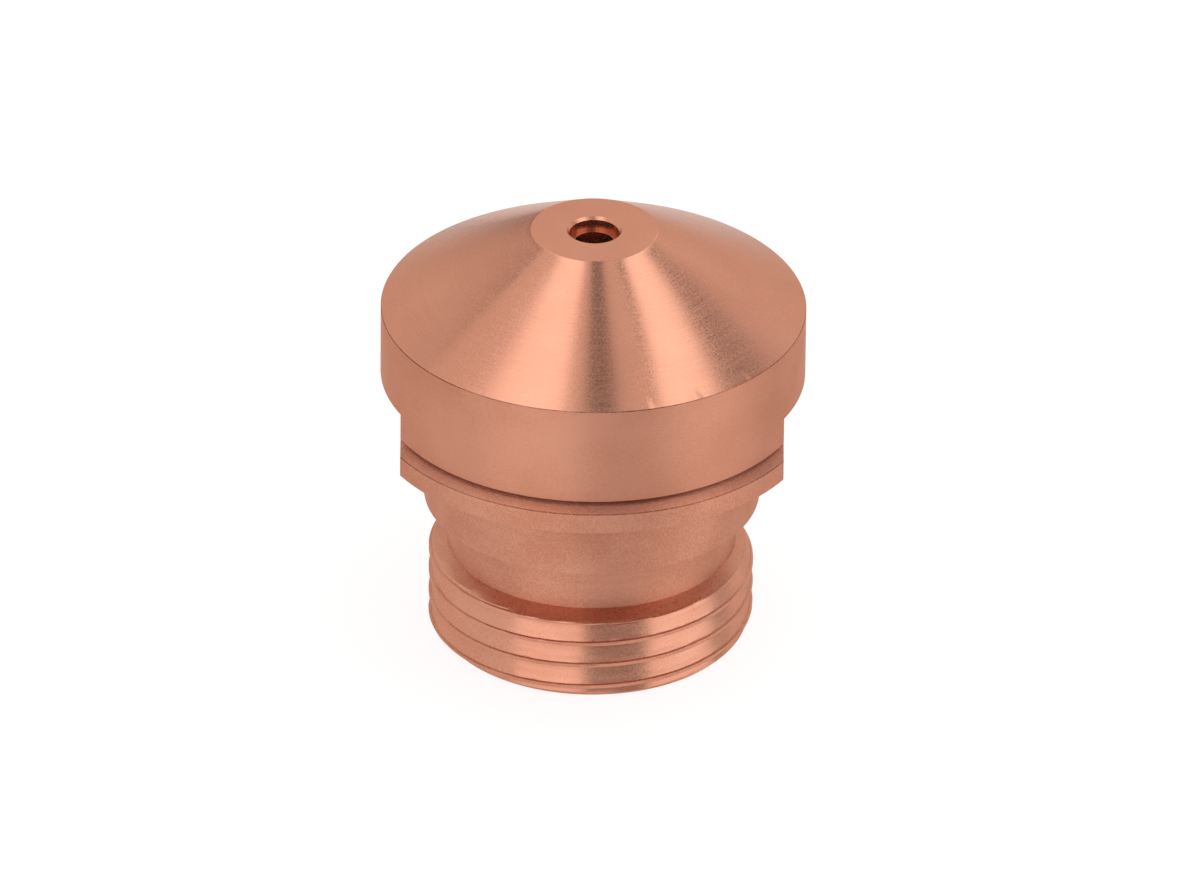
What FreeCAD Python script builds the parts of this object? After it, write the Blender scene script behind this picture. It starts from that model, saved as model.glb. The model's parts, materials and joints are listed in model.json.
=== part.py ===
"""Nozzle of a plasma cutting torch, turned in one piece from copper bar.

Millimetres. Z is the axis of the turned part and points out of the tip, along the arc.
The origin is the centre of the threaded end, on which the nozzle stands.
"""
import FreeCAD, Part
import math
import os

# Heights above the threaded end
THREAD_LENGTH = 5.88          # threaded shank, up to its shoulder
NECK_TOP = 9.03               # undercut behind the thread
COLLAR_BOTTOM = 13.85         # under this the pilot, which centres the nozzle in the torch
COLLAR_TOP = 15.20            # outer edge of the collar's sloping top
RIM_BOTTOM = 15.74            # the groove lies between the collar and the rim
RIM_TOP = 22.02
TIP_HEIGHT = 27.30

# Diameters outside
THREAD_DIAMETER = 19.85       # M20 x 1.5, tolerance 6g
THREAD_END_DIAMETER = 18.55   # small end of the lead-in chamfer
NECK_DIAMETER = 17.70         # undercut of a 1.5 mm pitch: nominal less 2.3
PILOT_DIAMETER = 20.50
COLLAR_DIAMETER = 27.00
RIM_DIAMETER = 25.85
TIP_DIAMETER = 7.70

THREAD_SHOULDER_DROP = 0.16   # the shoulder falls this far from the neck to the crests
GROOVE_DEPTH = 0.62           # on the radius, in from the rim
COLLAR_SLOPE = math.radians(20.0)

# Spanner flats, milled across the collar and the foot of the rim
ACROSS_FLATS = 23.25
FLATS_TOP = 17.48

# Gas passage, from the open threaded end to the tip
INLET_DIAMETER = 14.00        # seat of the swirl ring
INLET_DEPTH = 7.00
INLET_CHAMFER = 0.50
CHAMBER_DIAMETER = 11.50      # room of the electrode
CHAMBER_TOP = 15.50
CONVERGENCE = math.radians(42.0)   # angle of the converging cone to the axis
THROAT_DIAMETER = 2.40
MOUTH_DIAMETER = 3.00         # counterbore at the tip
MOUTH_DEPTH = 0.85
MOUTH_BREAK = 0.17            # edge break where the counterbore meets the tip face

# Edge breaks, on each side of the corner
TIP_EDGE = 0.05
RIM_EDGE = 0.05
COLLAR_EDGE = 0.08
PILOT_EDGE = 0.10
SEAT_RELIEF = 0.25            # small cone in the corner between pilot and seat

# Radii of the turning tools
NECK_FILLET = 0.45
CHAMBER_BLEND = 2.50


def eased_corner(back_point, corner, ahead_point, kind, size):
    """Start, stop and edge of one eased corner, in the order of the outline.

    A "round" corner is an arc of radius size, tangent to both sides. A "break" is a straight
    cut that starts size away from the corner on each side.
    """
    back = (back_point - corner).normalize()
    ahead = (ahead_point - corner).normalize()
    half = back.getAngle(ahead) / 2
    setback = size / math.tan(half) if kind == "round" else size
    start = corner + back * setback
    stop = corner + ahead * setback
    if kind == "break":
        return start, stop, Part.LineSegment(start, stop).toShape()
    to_centre = (back + ahead).normalize() * (size / math.sin(half))
    middle = corner + to_centre - to_centre.normalize() * size
    return start, stop, Part.Arc(start, middle, stop).toShape()


def outline(corners):
    """Closed wire in the X-Z plane through corners (radius, height) or (radius, height, kind, size)."""
    points = [FreeCAD.Vector(corner[0], 0, corner[1]) for corner in corners]
    starts = list(points)
    stops = list(points)
    eases = {}
    for i, corner in enumerate(corners):
        if len(corner) == 4:
            after = points[(i + 1) % len(points)]
            starts[i], stops[i], eases[i] = eased_corner(points[i - 1], points[i], after, *corner[2:])
    edges = []
    for i in range(len(corners)):
        if i in eases:
            edges.append(eases[i])
        next_start = starts[(i + 1) % len(corners)]
        edges.append(Part.LineSegment(stops[i], next_start).toShape())
    return Part.Wire(edges)


def turned(corners):
    """Solid of revolution of an outline about the Z axis."""
    face = Part.Face(outline(corners))
    return face.revolve(FreeCAD.Vector(0, 0, 0), FreeCAD.Vector(0, 0, 1), 360)


def outer_body():
    """The outside, from the tip down to the threaded end, still without its bore."""
    tip = TIP_DIAMETER / 2
    rim = RIM_DIAMETER / 2
    collar = COLLAR_DIAMETER / 2
    pilot = PILOT_DIAMETER / 2
    neck = NECK_DIAMETER / 2
    thread = THREAD_DIAMETER / 2
    thread_end = THREAD_END_DIAMETER / 2
    groove = rim - GROOVE_DEPTH
    slope_top = COLLAR_TOP + (collar - groove) * math.tan(COLLAR_SLOPE)
    return turned([
        (0, TIP_HEIGHT),
        (tip, TIP_HEIGHT, "break", TIP_EDGE),
        (rim, RIM_TOP, "break", RIM_EDGE),
        (rim, RIM_BOTTOM, "break", RIM_EDGE),
        (groove, RIM_BOTTOM),
        (groove, slope_top),
        (collar, COLLAR_TOP, "break", COLLAR_EDGE),
        (collar, COLLAR_BOTTOM, "break", COLLAR_EDGE),
        (pilot, COLLAR_BOTTOM, "break", SEAT_RELIEF),
        (pilot, NECK_TOP, "break", PILOT_EDGE),
        (neck, NECK_TOP, "round", NECK_FILLET),
        (neck, THREAD_LENGTH),
        (thread, THREAD_LENGTH - THREAD_SHOULDER_DROP),
        (thread, thread - thread_end),
        (thread_end, 0),
        (0, 0),
    ])


def gas_passage():
    """The hollow: swirl ring seat, electrode chamber, converging cone, throat and mouth."""
    inlet = INLET_DIAMETER / 2
    chamber = CHAMBER_DIAMETER / 2
    throat = THROAT_DIAMETER / 2
    mouth = MOUTH_DIAMETER / 2
    throat_bottom = CHAMBER_TOP + (chamber - throat) / math.tan(CONVERGENCE)
    return turned([
        (0, 0),
        (inlet + INLET_CHAMFER, 0),
        (inlet, INLET_CHAMFER),
        (inlet, INLET_DEPTH),
        (chamber, INLET_DEPTH),
        (chamber, CHAMBER_TOP, "round", CHAMBER_BLEND),
        (throat, throat_bottom),
        (throat, TIP_HEIGHT - MOUTH_DEPTH),
        (mouth, TIP_HEIGHT - MOUTH_DEPTH),
        (mouth, TIP_HEIGHT - MOUTH_BREAK),
        (mouth + MOUTH_BREAK, TIP_HEIGHT),
        (0, TIP_HEIGHT),
    ])


def beside_flat(side):
    """What the milling cutter takes away on one side, +1 for +X and -1 for -X."""
    flat = ACROSS_FLATS / 2
    reach = COLLAR_DIAMETER
    height = FLATS_TOP - COLLAR_BOTTOM
    corner = FreeCAD.Vector(flat if side > 0 else -flat - reach, -reach, COLLAR_BOTTOM)
    return Part.makeBox(reach, 2 * reach, height, corner)


def nozzle():
    body = outer_body().cut(gas_passage())
    for side in (1, -1):
        body = body.cut(beside_flat(side))
    return body.removeSplitter()


os.makedirs("parts", exist_ok=True)
shape = nozzle()
print("nozzle: valid", shape.isValid(), "solids", len(shape.Solids), "volume", round(shape.Volume, 1))
shape.Solids[0].exportStep("parts/nozzle.step")
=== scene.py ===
"""Looks of a turned copper nozzle of a plasma cutting torch, in metres, Z out of the tip.

The nozzle is one closed mesh on a grid: one direction runs down the outline of the section and
back up the bore, the other runs once round the axis. Lengths named here are in millimetres.
"""
import json
import math

import bmesh
import bpy
import numpy as np
from mathutils import Euler, Matrix, Quaternion, Vector


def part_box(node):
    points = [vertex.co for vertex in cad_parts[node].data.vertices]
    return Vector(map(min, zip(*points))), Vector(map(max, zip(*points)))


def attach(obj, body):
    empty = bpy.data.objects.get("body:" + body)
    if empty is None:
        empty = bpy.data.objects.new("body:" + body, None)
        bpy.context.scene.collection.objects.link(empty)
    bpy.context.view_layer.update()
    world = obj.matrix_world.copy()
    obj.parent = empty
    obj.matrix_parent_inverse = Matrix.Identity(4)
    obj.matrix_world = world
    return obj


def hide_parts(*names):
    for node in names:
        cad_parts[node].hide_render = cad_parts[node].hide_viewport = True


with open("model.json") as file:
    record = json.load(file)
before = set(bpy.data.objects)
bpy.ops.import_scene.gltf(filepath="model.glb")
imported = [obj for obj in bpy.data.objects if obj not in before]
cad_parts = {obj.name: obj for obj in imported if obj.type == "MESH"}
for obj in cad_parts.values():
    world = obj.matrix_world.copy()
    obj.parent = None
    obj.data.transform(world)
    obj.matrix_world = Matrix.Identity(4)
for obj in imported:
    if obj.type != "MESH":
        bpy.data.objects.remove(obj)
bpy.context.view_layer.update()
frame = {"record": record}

MM = 0.001
MOUNTS = {mount["name"]: mount for mount in frame["record"]["mounts"]}
NODE_LOW, NODE_HIGH = [[value / MM for value in corner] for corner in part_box("nozzle")]


def mount_radius(name):
    return MOUNTS[name]["dims"]["r_mm"]


def mount_end(name, side):
    """Height at which a round mount's wall stops: side -1 is its lower end, +1 its upper end."""
    return MOUNTS[name]["pos_m"][2] / MM + side * MOUNTS[name]["dims"]["length_mm"] / 2


# Sizes that the frame holds
TIP_HEIGHT = NODE_HIGH[2]
RIM_RADIUS = NODE_HIGH[0]
COLLAR_RADIUS = NODE_HIGH[1]
THREAD_RADIUS = mount_radius("thread")
THREAD_FOOT = mount_end("thread", -1)
PILOT_RADIUS = mount_radius("pilot")
COLLAR_BOTTOM = MOUNTS["seat"]["pos_m"][2] / MM
HALF_FLATS = MOUNTS["spanner_flat_right"]["pos_m"][0] / MM
INLET_RADIUS = mount_radius("inlet")
INLET_DEPTH = mount_end("inlet", 1)
THROAT_RADIUS = mount_radius("orifice")
THROAT_BOTTOM = mount_end("orifice", -1)
THROAT_TOP = mount_end("orifice", 1)

# Sizes between them
TIP_RADIUS = 3.85
RIM_TOP = 22.02
RIM_BOTTOM = 15.74
FLATS_TOP = 17.48
GROOVE_RADIUS = 12.305
COLLAR_TOP = 15.20
COLLAR_TOP_INSIDE = 15.635
NECK_TOP = 9.03
NECK_RADIUS = 8.85
THREAD_TOP = 5.88
CHAMBER_RADIUS = 5.75
CHAMBER_TOP = 15.50
MOUTH_RADIUS = 1.50
MOUTH_BREAK = 0.17
INLET_CHAMFER = 0.50

# Thread, right-hand: a narrow crest, an undercut below it, and a broad band out to the next lip
PITCH = 1.5
THREAD_DEPTH = 0.58
LIP_DEPTH = 0.13
CREST_HALF = 0.11
UNDERCUT_RUN = 0.14
LIP_RUN = 0.05
SHOULDER_DROP = 0.45
FRONT_CREST = 5.42            # height of the uppermost crest at the front, -Y
FRONT_TURN = 0.75             # share of a turn from +X to the front

COLUMNS = 432
FLAT_CORNER_RADII = (COLLAR_RADIUS, RIM_RADIUS)
SHARP_ANGLE = math.radians(16)

# EDGE is the finish of the eased edges, whose copper is painted darker: painted shade for the dark lines
# along them.
FACED, CONE, RIM, ROUGH, THREAD, BORE, MILLED, EDGE = range(8)


def column_angles():
    """Angles of the grid's columns: even steps, with the nearest moved onto each flat's corners."""
    angles = np.linspace(0, 2 * math.pi, COLUMNS + 1)
    for radius in FLAT_CORNER_RADII:
        corner = math.acos(HALF_FLATS / radius)
        for target in (corner, math.pi - corner, math.pi + corner, 2 * math.pi - corner):
            angles[np.abs(angles - target).argmin()] = target
    return angles


ANGLES = column_angles()


def round_noise(bumps, seed):
    """Smooth random values round the axis, about -1 to 1: a sum of waves with up to `bumps`
    periods per turn, random in phase and strength, so its two ends meet."""
    draw = np.random.default_rng(seed)
    orders = np.arange(1, bumps + 1)
    phases = draw.uniform(0, 2 * math.pi, bumps)
    strengths = draw.normal(0, 1, bumps)
    waves = strengths[:, None] * np.cos(orders[:, None] * ANGLES + phases[:, None])
    total = waves.sum(axis=0)
    return total / np.abs(total).max()


class Grid:
    """Rows of the grid, each with its radius, height and finish."""

    def __init__(self):
        self.radius = []
        self.height = []
        self.finish = []

    def row(self, radius, height, finish):
        self.radius.append(np.broadcast_to(radius, ANGLES.shape).astype(float))
        self.height.append(np.broadcast_to(height, ANGLES.shape).astype(float))
        self.finish.append(finish)

    def line(self, start, stop, steps, finish):
        """Rows from start up to, but without, stop, both (radius, height)."""
        for share in np.arange(steps) / steps:
            radius = start[0] + (stop[0] - start[0]) * share
            height = start[1] + (stop[1] - start[1]) * share
            self.row(radius, height, finish)

    def eased(self, corner, before, after, size, steps, finish, burr=0.0, onward=None):
        """Rows of a corner rounded to radius size between the directions before and after.

        The arc's centre lies on the bisector of the two sides, size / sin(half angle) from the
        corner, and the rows step along the arc by equal angles. burr is added to the radius.
        onward is the finish of what follows the last row, where it differs.
        """
        corner = np.array(corner)
        back = np.array(before) / np.hypot(*before)
        ahead = np.array(after) / np.hypot(*after)
        half = math.acos(np.clip(back @ ahead, -1, 1)) / 2
        bisector = (back + ahead) / np.hypot(*(back + ahead))
        centre = corner + bisector * size / math.sin(half)
        turn = math.pi - 2 * half
        first = corner + back * size / math.tan(half) - centre
        sense = np.sign(first[0] * ahead[1] - first[1] * ahead[0])
        for share in np.linspace(0, 1, steps + 1):
            angle = sense * turn * share
            spoke = np.array([first[0] * math.cos(angle) - first[1] * math.sin(angle),
                              first[0] * math.sin(angle) + first[1] * math.cos(angle)])
            lift = burr * math.sin(math.pi * share)
            self.row(centre[0] + spoke[0] + lift, centre[1] + spoke[1], finish)
        if onward is not None:
            self.finish[-1] = onward


def thread_radius(drop):
    """Radius of the thread by the drop in mm below a crest's middle, within one pitch: level over
    the crest, sharply in under it, then slowly out again down to the lip of the next crest."""
    under = CREST_HALF + UNDERCUT_RUN
    lip = PITCH - CREST_HALF
    drops = (0, CREST_HALF, under, lip - LIP_RUN, lip, PITCH)
    depths = (0, 0, THREAD_DEPTH, LIP_DEPTH, 0, 0)
    return THREAD_RADIUS - np.interp(drop, drops, depths)


def thread_envelope(height):
    """Largest radius at a height: the lead-in chamfer at the end and the shoulder at the neck."""
    chamfer = THREAD_RADIUS - THREAD_FOOT + height
    shoulder = NECK_RADIUS + (THREAD_RADIUS - NECK_RADIUS) * (THREAD_TOP - height) / SHOULDER_DROP
    return np.minimum(np.minimum(chamfer, shoulder), THREAD_RADIUS)


def helix_noise(turns, points_per_turn, strength, seed):
    """Random values along the thread, met at the seam because they follow the helix angle."""
    draw = np.random.default_rng(seed)
    knots = draw.normal(0, strength, int((turns + 2) * points_per_turn))
    return lambda helix_turn: np.interp(helix_turn * points_per_turn, np.arange(knots.size), knots)


def thread_drops():
    """Drops below a crest's middle at which the thread has a row, closer at its bends."""
    under = CREST_HALF + UNDERCUT_RUN
    lip = PITCH - CREST_HALF
    crest = [0.0, CREST_HALF * 0.6, CREST_HALF * 0.93, CREST_HALF + 0.03]
    undercut = [CREST_HALF + UNDERCUT_RUN * 0.5, under * 0.97, under + 0.04]
    band = list(np.linspace(under + 0.12, lip - LIP_RUN - 0.06, 9))
    return crest + undercut + band + [lip - LIP_RUN, lip - LIP_RUN * 0.4, lip, lip + CREST_HALF * 0.4]


def add_thread(grid):
    """Rows of the thread, each following the helix: a row's height falls by its drop, rises one
    pitch per turn round the axis, and both ends are cut level by clamping."""
    top_turn = math.ceil((THREAD_TOP - FRONT_CREST) / PITCH + FRONT_TURN) + 1
    bottom_turn = math.floor(-FRONT_CREST / PITCH + FRONT_TURN) - 2
    turns = top_turn - bottom_turn + 1
    lip_burr = helix_noise(turns, 150, 0.016, 3)
    crest_burr = helix_noise(turns, 110, 0.009, 6)
    band_wave = helix_noise(turns, 30, 0.008, 4)
    round_turn = ANGLES / (2 * math.pi)
    for turn in range(top_turn, bottom_turn - 1, -1):
        for drop in thread_drops():
            height = FRONT_CREST - drop + PITCH * (turn + round_turn - FRONT_TURN)
            height = np.clip(height, 0, THREAD_TOP)
            helix_turn = turn - bottom_turn + round_turn
            radius = thread_radius(drop) * np.ones_like(ANGLES)
            near_lip = math.exp(-((drop - PITCH + CREST_HALF) / 0.05) ** 2)
            near_under = math.exp(-((drop - CREST_HALF) / 0.04) ** 2)
            radius += near_lip * lip_burr(helix_turn - 1) + near_under * crest_burr(helix_turn)
            radius += (1 - near_lip) * band_wave(helix_turn - drop / PITCH)
            radius = np.minimum(radius, THREAD_RADIUS)
            radius = np.minimum(radius, thread_envelope(height))
            radius = np.where(height >= THREAD_TOP, NECK_RADIUS, radius)
            grid.row(radius, height, THREAD)


def outline_rows():
    """The whole outline: from the orifice over the tip, down the outside, and up the passage."""
    grid = Grid()
    cone = (RIM_RADIUS - TIP_RADIUS, RIM_TOP - TIP_HEIGHT)
    up, down, out, inward = (0, 1), (0, -1), (1, 0), (-1, 0)
    collar_slope = (COLLAR_RADIUS - GROOVE_RADIUS, COLLAR_TOP - COLLAR_TOP_INSIDE)

    def against(direction):
        return (-direction[0], -direction[1])

    grid.line((MOUTH_RADIUS + MOUTH_BREAK, TIP_HEIGHT), (TIP_RADIUS - 0.06, TIP_HEIGHT), 4, FACED)
    grid.eased((TIP_RADIUS, TIP_HEIGHT), inward, cone, 0.09, 4, CONE)
    grid.line((TIP_RADIUS + cone[0] * 0.03, TIP_HEIGHT + cone[1] * 0.03),
              (RIM_RADIUS - 0.1, RIM_TOP - 0.1 * cone[1] / cone[0]), 10, CONE)
    rim_burr = 0.010 * round_noise(150, 5) - 0.010
    grid.eased((RIM_RADIUS, RIM_TOP), against(cone), down, 0.07, 4, EDGE, rim_burr, onward=RIM)
    grid.line((RIM_RADIUS, RIM_TOP - 0.15), (RIM_RADIUS, FLATS_TOP), 4, RIM)
    grid.row(RIM_RADIUS, FLATS_TOP, RIM)
    first_flat_row = len(grid.radius)
    grid.line((RIM_RADIUS, FLATS_TOP), (RIM_RADIUS, RIM_BOTTOM + 0.1), 3, RIM)
    grid.eased((RIM_RADIUS, RIM_BOTTOM), up, inward, 0.05, 3, RIM)
    grid.line((RIM_RADIUS - 0.08, RIM_BOTTOM), (GROOVE_RADIUS, RIM_BOTTOM), 2, ROUGH)
    grid.line((GROOVE_RADIUS, RIM_BOTTOM), (GROOVE_RADIUS, COLLAR_TOP_INSIDE), 1, ROUGH)
    grid.line((GROOVE_RADIUS, COLLAR_TOP_INSIDE), (COLLAR_RADIUS - 0.1, COLLAR_TOP + 0.03), 4, ROUGH)
    grid.eased((COLLAR_RADIUS, COLLAR_TOP), against(collar_slope), down, 0.07, 3, EDGE, onward=ROUGH)
    grid.line((COLLAR_RADIUS, COLLAR_TOP - 0.12), (COLLAR_RADIUS, COLLAR_BOTTOM + 0.14), 3, ROUGH)
    grid.eased((COLLAR_RADIUS, COLLAR_BOTTOM), up, inward, 0.07, 3, EDGE, onward=ROUGH)
    grid.line((COLLAR_RADIUS - 0.2, COLLAR_BOTTOM), (PILOT_RADIUS + 0.3, COLLAR_BOTTOM), 3, ROUGH)
    last_flat_row = len(grid.radius)
    grid.eased((PILOT_RADIUS, COLLAR_BOTTOM), out, down, 0.22, 4, ROUGH)
    grid.line((PILOT_RADIUS, COLLAR_BOTTOM - 0.3), (PILOT_RADIUS, NECK_TOP + 0.15), 4, ROUGH)
    grid.eased((PILOT_RADIUS, NECK_TOP), up, inward, 0.07, 3, EDGE, onward=ROUGH)
    grid.eased((NECK_RADIUS, NECK_TOP), out, down, 0.45, 6, ROUGH)
    grid.line((NECK_RADIUS, NECK_TOP - 0.5), (NECK_RADIUS, THREAD_TOP), 4, ROUGH)
    add_thread(grid)
    grid.line((NECK_RADIUS - 0.1, 0), (INLET_RADIUS + INLET_CHAMFER, 0), 3, FACED)
    grid.line((INLET_RADIUS + INLET_CHAMFER, 0), (INLET_RADIUS, INLET_CHAMFER), 1, BORE)
    grid.line((INLET_RADIUS, INLET_CHAMFER), (INLET_RADIUS, INLET_DEPTH), 2, BORE)
    grid.line((INLET_RADIUS, INLET_DEPTH), (CHAMBER_RADIUS, INLET_DEPTH), 2, BORE)
    cone_in = (THROAT_RADIUS - CHAMBER_RADIUS, THROAT_BOTTOM - CHAMBER_TOP)
    grid.line((CHAMBER_RADIUS, INLET_DEPTH), (CHAMBER_RADIUS, CHAMBER_TOP - 1.0), 3, BORE)
    grid.eased((CHAMBER_RADIUS, CHAMBER_TOP), down, cone_in, 2.5, 7, BORE)
    grid.line((CHAMBER_RADIUS + cone_in[0] * 0.25, CHAMBER_TOP + cone_in[1] * 0.25),
              (THROAT_RADIUS, THROAT_BOTTOM), 4, BORE)
    grid.line((THROAT_RADIUS, THROAT_BOTTOM), (THROAT_RADIUS, THROAT_TOP), 3, BORE)
    grid.line((THROAT_RADIUS, THROAT_TOP), (MOUTH_RADIUS, THROAT_TOP), 2, BORE)
    grid.line((MOUTH_RADIUS, THROAT_TOP), (MOUTH_RADIUS, TIP_HEIGHT - MOUTH_BREAK), 2, BORE)
    grid.line((MOUTH_RADIUS, TIP_HEIGHT - MOUTH_BREAK), (MOUTH_RADIUS + MOUTH_BREAK, TIP_HEIGHT), 2, BORE)
    return grid, first_flat_row, last_flat_row


def mesh_from_grid(name, x, y, z, finish, attributes):
    """Closed mesh of a grid whose last row meets its first and whose last column its first.

    Vertex (row, column) joins the next row and the next column in a quad facing outwards.
    Points that coincide, where rows or columns meet, are welded afterwards.
    """
    rows, columns = x.shape
    ids = np.arange(rows * columns).reshape(rows, columns)
    below = np.roll(ids, -1, axis=0)
    quads = np.stack([ids[:, :-1], below[:, :-1], below[:, 1:], ids[:, 1:]], axis=-1).reshape(-1, 4)
    mesh = bpy.data.meshes.new(name)
    mesh.vertices.add(rows * columns)
    mesh.vertices.foreach_set("co", np.stack([x, y, z], axis=-1).ravel() * MM)
    mesh.loops.add(quads.size)
    mesh.loops.foreach_set("vertex_index", quads.ravel())
    mesh.polygons.add(len(quads))
    mesh.polygons.foreach_set("loop_start", np.arange(len(quads)) * 4)
    mesh.polygons.foreach_set("material_index", finish.ravel())
    for attribute, values in attributes.items():
        layer = mesh.attributes.new(attribute, "FLOAT", "POINT")
        layer.data.foreach_set("value", values.ravel())
    mesh.update(calc_edges=True)
    return mesh


def weld(mesh, distance):
    """Join the points of a mesh that lie within distance, in metres, and drop faces with no area."""
    work = bmesh.new()
    work.from_mesh(mesh)
    bmesh.ops.remove_doubles(work, verts=work.verts, dist=distance)
    bmesh.ops.dissolve_degenerate(work, edges=work.edges, dist=distance)
    work.to_mesh(mesh)
    work.free()


def nozzle_mesh():
    """The outline turned round the axis, with the two flats cut by holding x within HALF_FLATS."""
    grid, first_flat, last_flat = outline_rows()
    radius = np.array(grid.radius)
    height = np.array(grid.height)
    finish = np.repeat(np.array(grid.finish)[:, None], ANGLES.size - 1, axis=1)
    reach = HALF_FLATS / np.maximum(np.abs(np.cos(ANGLES)), 1e-6)
    cut = slice(first_flat, last_flat)
    milled = radius[cut] > reach + 1e-9
    radius[cut] = np.minimum(radius[cut], reach)
    on_flat = milled[:, :-1] & milled[:, 1:]
    finish[cut][on_flat] = MILLED
    outward = np.diff(radius[:, 0], prepend=radius[0, 0])
    upward = np.diff(height[:, 0], prepend=height[0, 0])
    step = np.hypot(outward, upward)
    along = np.repeat(np.cumsum(step)[:, None], ANGLES.size, axis=1)
    x = radius * np.cos(ANGLES)
    y = radius * np.sin(ANGLES)
    mesh = mesh_from_grid("copper_nozzle", x, y, height, finish, {"along": along})
    weld(mesh, 1e-7)
    mesh.shade_smooth()
    mesh.set_sharp_from_angle(angle=SHARP_ANGLE)
    return mesh


# ---- Materials

COPPER = (0.600, 0.262, 0.170)
# Darker copper for the eased edges: painted shade for the dark lines along them.
EDGE_SHADE_COPPER = (0.330, 0.125, 0.075)


class Nodes:
    """Short names for adding nodes to one material."""

    def __init__(self, name):
        self.material = bpy.data.materials.new(name)
        self.material.use_nodes = True
        self.tree = self.material.node_tree
        self.shader = self.tree.nodes["Principled BSDF"]

    def add(self, kind, **settings):
        node = self.tree.nodes.new(kind)
        for key, value in settings.items():
            setattr(node, key, value)
        return node

    def join(self, source, target):
        self.tree.links.new(source, target)

    def maths(self, operation, first, second=None, third=None):
        node = self.add("ShaderNodeMath", operation=operation)
        for socket, value in zip(node.inputs, (first, second, third)):
            if value is None:
                continue
            if isinstance(value, (int, float)):
                socket.default_value = value
            else:
                self.join(value, socket)
        return node.outputs[0]


def copper(name, colour, roughness, anisotropy, lines, line_depth, speckle, speckle_depth, stain):
    """Bare copper with the marks of the lathe.

    lines is tool marks per mm along the outline and line_depth their bump in mm; speckle is
    the size in mm of the grain, speckle_depth its bump; stain is how far the colour wanders.
    """
    n = Nodes(name)
    shader = n.shader
    shader.inputs["Metallic"].default_value = 1.0
    shader.inputs["Specular Tint"].default_value = (0.78, 0.66, 0.60, 1)
    shader.inputs["Anisotropic"].default_value = anisotropy
    shader.inputs["Anisotropic Rotation"].default_value = 0.25
    place = n.add("ShaderNodeTexCoord")
    split = n.add("ShaderNodeSeparateXYZ")
    n.join(place.outputs["Object"], split.inputs[0])
    along = n.add("ShaderNodeAttribute", attribute_name="along", attribute_type="GEOMETRY")

    ring_place = n.add("ShaderNodeCombineXYZ")
    n.join(n.maths("MULTIPLY", along.outputs["Fac"], lines), ring_place.inputs[0])
    n.join(n.maths("MULTIPLY", split.outputs[0], 60.0), ring_place.inputs[1])
    n.join(n.maths("MULTIPLY", split.outputs[1], 60.0), ring_place.inputs[2])
    rings = n.add("ShaderNodeTexNoise")
    rings.inputs["Scale"].default_value = 1.0
    rings.inputs["Detail"].default_value = 2.0
    rings.inputs["Roughness"].default_value = 0.6
    n.join(ring_place.outputs[0], rings.inputs["Vector"])

    grain = n.add("ShaderNodeTexNoise")
    grain.inputs["Scale"].default_value = 1 / (speckle * MM)
    grain.inputs["Detail"].default_value = 2.0
    n.join(place.outputs["Object"], grain.inputs["Vector"])

    cloud = n.add("ShaderNodeTexNoise")
    cloud.inputs["Scale"].default_value = 1 / (5 * MM)
    cloud.inputs["Detail"].default_value = 3.0
    n.join(place.outputs["Object"], cloud.inputs["Vector"])

    tint = n.add("ShaderNodeValToRGB")
    tint.color_ramp.elements[0].position = 0.3
    tint.color_ramp.elements[1].position = 0.7
    darker = tuple(channel * (1 - stain * share) for channel, share in zip(colour, (0.6, 0.9, 1.0)))
    lighter = tuple(channel * (1 + stain * share) for channel, share in zip(colour, (0.4, 0.7, 0.9)))
    tint.color_ramp.elements[0].color = darker + (1,)
    tint.color_ramp.elements[1].color = lighter + (1,)
    blend = n.maths("MULTIPLY_ADD", n.maths("SUBTRACT", grain.outputs["Fac"], 0.5), 1.2, cloud.outputs["Fac"])
    n.join(blend, tint.inputs["Fac"])
    n.join(tint.outputs["Color"], shader.inputs["Base Color"])

    wander = n.maths("MULTIPLY_ADD", n.maths("SUBTRACT", grain.outputs["Fac"], 0.5), 0.25, roughness)
    wander = n.maths("MULTIPLY_ADD", n.maths("SUBTRACT", rings.outputs["Fac"], 0.5), 0.15, wander)
    n.join(wander, shader.inputs["Roughness"])

    line_bump = n.add("ShaderNodeBump")
    line_bump.inputs["Strength"].default_value = 1.0
    line_bump.inputs["Distance"].default_value = line_depth * MM
    n.join(rings.outputs["Fac"], line_bump.inputs["Height"])
    grain_bump = n.add("ShaderNodeBump")
    grain_bump.inputs["Strength"].default_value = 1.0
    grain_bump.inputs["Distance"].default_value = speckle_depth * MM
    n.join(grain.outputs["Fac"], grain_bump.inputs["Height"])
    n.join(line_bump.outputs["Normal"], grain_bump.inputs["Normal"])
    n.join(grain_bump.outputs["Normal"], shader.inputs["Normal"])

    round_axis = n.add("ShaderNodeCombineXYZ")
    n.join(n.maths("MULTIPLY", split.outputs[1], -1.0), round_axis.inputs[0])
    n.join(split.outputs[0], round_axis.inputs[1])
    unit = n.add("ShaderNodeVectorMath", operation="NORMALIZE")
    n.join(round_axis.outputs[0], unit.inputs[0])
    n.join(unit.outputs[0], shader.inputs["Tangent"])
    return n.material


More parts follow.
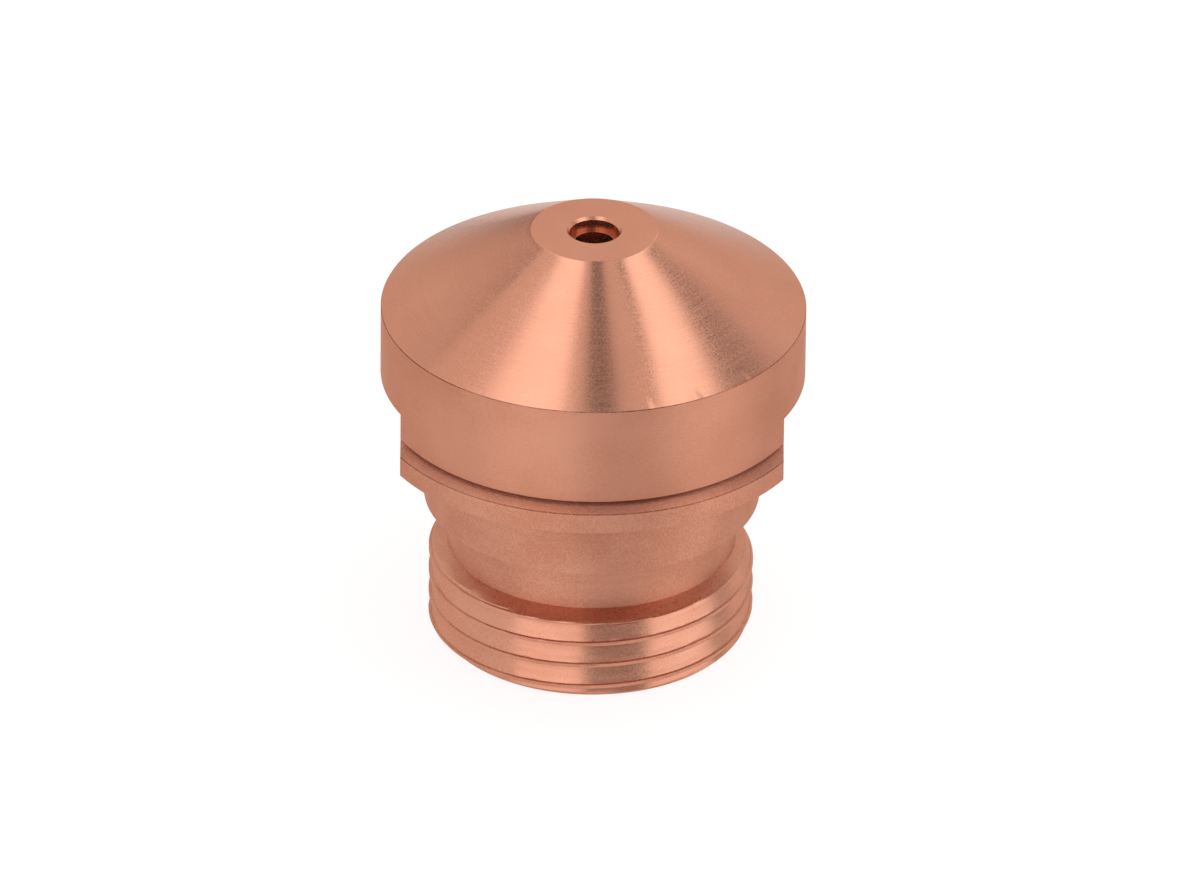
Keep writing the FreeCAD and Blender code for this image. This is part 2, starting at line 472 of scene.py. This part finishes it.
def nozzle_materials():
    """In the order of the finish numbers: FACED, CONE, RIM, ROUGH, THREAD, BORE, MILLED, EDGE."""
    return [
        copper("copper_faced", COPPER, 0.38, 0.3, 9.0, 0.0012, 0.10, 0.0010, 0.08),
        copper("copper_cone", COPPER, 0.21, 0.7, 8.0, 0.0012, 0.12, 0.0004, 0.07),
        copper("copper_rim", COPPER, 0.48, 0.80, 9.0, 0.0016, 0.11, 0.0016, 0.12),
        copper("copper_rough", COPPER, 0.48, 0.78, 7.0, 0.0024, 0.12, 0.0035, 0.20),
        copper("copper_thread", COPPER, 0.33, 0.75, 7.0, 0.0018, 0.12, 0.0014, 0.16),
        copper("copper_bore", COPPER, 0.28, 0.5, 7.0, 0.0020, 0.12, 0.0008, 0.10),
        copper("copper_milled", COPPER, 0.34, 0.2, 6.0, 0.0010, 0.12, 0.0008, 0.06),
        # Eased edges: darker copper with a strong stain, painted shade for the dark jagged lines along the
        # edges.
        copper("copper_edge", EDGE_SHADE_COPPER, 0.42, 0.2, 9.0, 0.0010, 0.16, 0.0030, 0.45),
    ]


def build_nozzle():
    """The one visible piece, riding on the base body in place of its solid."""
    mesh = nozzle_mesh()
    for material in nozzle_materials():
        mesh.materials.append(material)
    piece = bpy.data.objects.new("copper_nozzle", mesh)
    bpy.context.scene.collection.objects.link(piece)
    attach(piece, "root")
    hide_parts("nozzle")
    return piece


# ---- Stage

ELEVATION = math.radians(30.41)
ROLL = math.radians(0.606)
CAMERA_DISTANCE = 1.2
FRAME_WIDTH = 72.44 * MM
AIM = Vector((0.117, 0, 12.146)) * MM
LIT_POINT = (0, 0, 0.018)
FLOOR_GLOW = 0.85
OVERHEAD_UP = (0, 1, 0)
SOFTBOX_TINT = (0.93, 0.98, 1.0)


def build_camera():
    """Long-lens camera in front and above, aimed so that FRAME_WIDTH fills the picture's width."""
    data = bpy.data.cameras.new("camera")
    data.sensor_width = 36.0
    data.lens = data.sensor_width * CAMERA_DISTANCE / FRAME_WIDTH
    data.clip_start = 0.05
    data.clip_end = 20
    camera = bpy.data.objects.new("camera", data)
    turn = Euler((math.pi / 2 - ELEVATION, 0, 0)).to_quaternion() @ Quaternion((0, 0, 1), ROLL)
    camera.rotation_mode = "QUATERNION"
    camera.rotation_quaternion = turn
    camera.location = AIM + CAMERA_DISTANCE * Vector((0, -math.cos(ELEVATION), math.sin(ELEVATION)))
    bpy.context.scene.collection.objects.link(camera)
    bpy.context.scene.camera = camera


def facing(place, target, up):
    """Rotation whose own Z looks from place to target, with its Y as near to `up` as it can be."""
    forward = (Vector(target) - Vector(place)).normalized()
    across = Vector(up).cross(forward).normalized()
    upward = forward.cross(across)
    return Matrix((across, upward, forward)).transposed().to_quaternion()


def softbox(name, place, size, radiance, up):
    """Rectangular lamp aimed at the nozzle; radiance 1 is as bright as white."""
    data = bpy.data.lights.new(name, "AREA")
    data.shape = "RECTANGLE"
    data.size, data.size_y = size
    data.energy = radiance * math.pi * size[0] * size[1]
    lamp = bpy.data.objects.new(name, data)
    lamp.location = place
    lamp.rotation_mode = "QUATERNION"
    lamp.rotation_quaternion = facing(place, LIT_POINT, up) @ Quaternion((1, 0, 0), math.pi)
    bpy.context.scene.collection.objects.link(lamp)
    return lamp


def panel(name, corners, radiance, tint=(1, 1, 1)):
    """Flat studio panel that only the metal sees: a radiance near 2 is a lit softbox and near 0.4
    a black flag; 1 is as bright as white."""
    mesh = bpy.data.meshes.new(name)
    mesh.from_pydata([tuple(corner) for corner in corners], [], [tuple(range(len(corners)))])
    material = bpy.data.materials.new(name)
    material.use_nodes = True
    tree = material.node_tree
    glow = tree.nodes.new("ShaderNodeEmission")
    glow.inputs["Color"].default_value = tint + (1,)
    glow.inputs["Strength"].default_value = radiance
    tree.links.new(glow.outputs[0], tree.nodes["Material Output"].inputs["Surface"])
    tree.nodes.remove(tree.nodes["Principled BSDF"])
    mesh.materials.append(material)
    piece = bpy.data.objects.new(name, mesh)
    piece.visible_camera = False
    piece.visible_shadow = False
    piece.visible_diffuse = False
    bpy.context.scene.collection.objects.link(piece)
    return piece


def ceiling_panel(name, height, left, right, front, back, radiance):
    """Level panel at a height over the floor, its sides given along X and Y, all in mm."""
    corners = [(left, front, height), (right, front, height), (right, back, height), (left, back, height)]
    return panel(name, [Vector(corner) * MM for corner in corners], radiance, SOFTBOX_TINT)


def wall_panel(name, first, last, distance, bottom, top, radiance):
    """Upright panel between two bearings in degrees, counted from the front toward +X."""
    corners = []
    for bearing, height in ((first, bottom), (last, bottom), (last, top), (first, top)):
        turn = math.radians(bearing)
        corners.append(Vector((distance * math.sin(turn), -distance * math.cos(turn), height)) * MM)
    return panel(name, corners, radiance, SOFTBOX_TINT)


def seen_as_white(tree, plain):
    """Shader that is white to the camera, mirrors and glass, and `plain` to all other rays."""
    path = tree.nodes.new("ShaderNodeLightPath")
    first = tree.nodes.new("ShaderNodeMath")
    first.operation = "MAXIMUM"
    tree.links.new(path.outputs["Is Camera Ray"], first.inputs[0])
    tree.links.new(path.outputs["Is Glossy Ray"], first.inputs[1])
    second = tree.nodes.new("ShaderNodeMath")
    second.operation = "MAXIMUM"
    tree.links.new(first.outputs[0], second.inputs[0])
    tree.links.new(path.outputs["Is Transmission Ray"], second.inputs[1])
    mix = tree.nodes.new("ShaderNodeMixShader")
    tree.links.new(second.outputs[0], mix.inputs[0])
    tree.links.new(plain, mix.inputs[1])
    return mix


def build_world():
    """White surroundings, dimmer for the light that they cast themselves."""
    world = bpy.data.worlds.new("studio")
    bpy.context.scene.world = world
    world.use_nodes = True
    tree = world.node_tree
    dim = tree.nodes["Background"]
    dim.inputs["Color"].default_value = (1, 1, 1, 1)
    dim.inputs["Strength"].default_value = 0.6
    white = tree.nodes.new("ShaderNodeBackground")
    white.inputs["Color"].default_value = (1, 1, 1, 1)
    white.inputs["Strength"].default_value = 1.0
    mix = seen_as_white(tree, dim.outputs[0])
    tree.links.new(white.outputs[0], mix.inputs[2])
    tree.links.new(mix.outputs[0], tree.nodes["World Output"].inputs["Surface"])


def build_floor():
    """Pale floor: white by itself to the camera and the metal, less the nozzle's soft shadow."""
    mesh = bpy.data.meshes.new("floor")
    reach = 1.5
    mesh.from_pydata([(-reach, -reach, 0), (reach, -reach, 0), (reach, reach, 0), (-reach, reach, 0)],
                     [], [(0, 1, 2, 3)])
    material = bpy.data.materials.new("floor")
    material.use_nodes = True
    tree = material.node_tree
    matt = tree.nodes.new("ShaderNodeBsdfDiffuse")
    matt.inputs["Color"].default_value = (0.30, 0.30, 0.30, 1)
    glow = tree.nodes.new("ShaderNodeEmission")
    glow.inputs["Strength"].default_value = FLOOR_GLOW
    both = tree.nodes.new("ShaderNodeAddShader")
    tree.links.new(matt.outputs[0], both.inputs[0])
    tree.links.new(glow.outputs[0], both.inputs[1])
    pale = tree.nodes.new("ShaderNodeBsdfDiffuse")
    pale.inputs["Color"].default_value = (0.85, 0.85, 0.85, 1)
    mix = seen_as_white(tree, pale.outputs[0])
    tree.links.new(both.outputs[0], mix.inputs[2])
    tree.links.new(mix.outputs[0], tree.nodes["Material Output"].inputs["Surface"])
    tree.nodes.remove(tree.nodes["Principled BSDF"])
    mesh.materials.append(material)
    floor = bpy.data.objects.new("floor", mesh)
    bpy.context.scene.collection.objects.link(floor)


def flag_seam():
    """Narrow dark strip behind and to the left, from above the rim's level down to the floor."""
    middle = Vector((0, 0, 24))
    across = Vector((-0.83, -0.256, -0.49)) * 5.0
    high = middle + Vector((-0.580, 0.380, 0.720)) * 120
    low = middle + Vector((-0.150, 0.980, -0.160)) * 120
    corners = [high - across, low - across, low + across, high + across]
    panel("flag_seam", [corner * MM for corner in corners], 0.45)


def build_lights():
    """Softboxes and flags round and over the nozzle, with one soft lamp for its shadow."""
    ceiling_panel("high_softbox_left", 500, -222, -60, -260, 420, 2.05)
    ceiling_panel("high_flag", 500, -15, 52, -260, 420, 0.36)
    ceiling_panel("near_softbox_right", 60, 15, 28.5, -30, 60, 2.1)
    flag_seam()
    ceiling_panel("flag_right", 120, 30, 96, -20, 130, 0.50)
    wall_panel("front_softbox_left", -54, -6, 500, 8, 760, 1.95)
    wall_panel("front_flag", -5, 39, 500, 8, 760, 0.40)
    wall_panel("front_softbox_right", 40, 90, 500, 8, 760, 1.95)
    wall_panel("side_flag_right", 91, 111, 500, 8, 420, 0.40)
    shadow_lamp = softbox("shadow_lamp", (0.15, -0.10, 0.60), (0.30, 0.30), 0.9, OVERHEAD_UP)
    shadow_lamp.visible_glossy = False


bpy.context.scene.view_settings.view_transform = "Standard"
build_camera()
build_nozzle()
build_world()
build_floor()
build_lights()
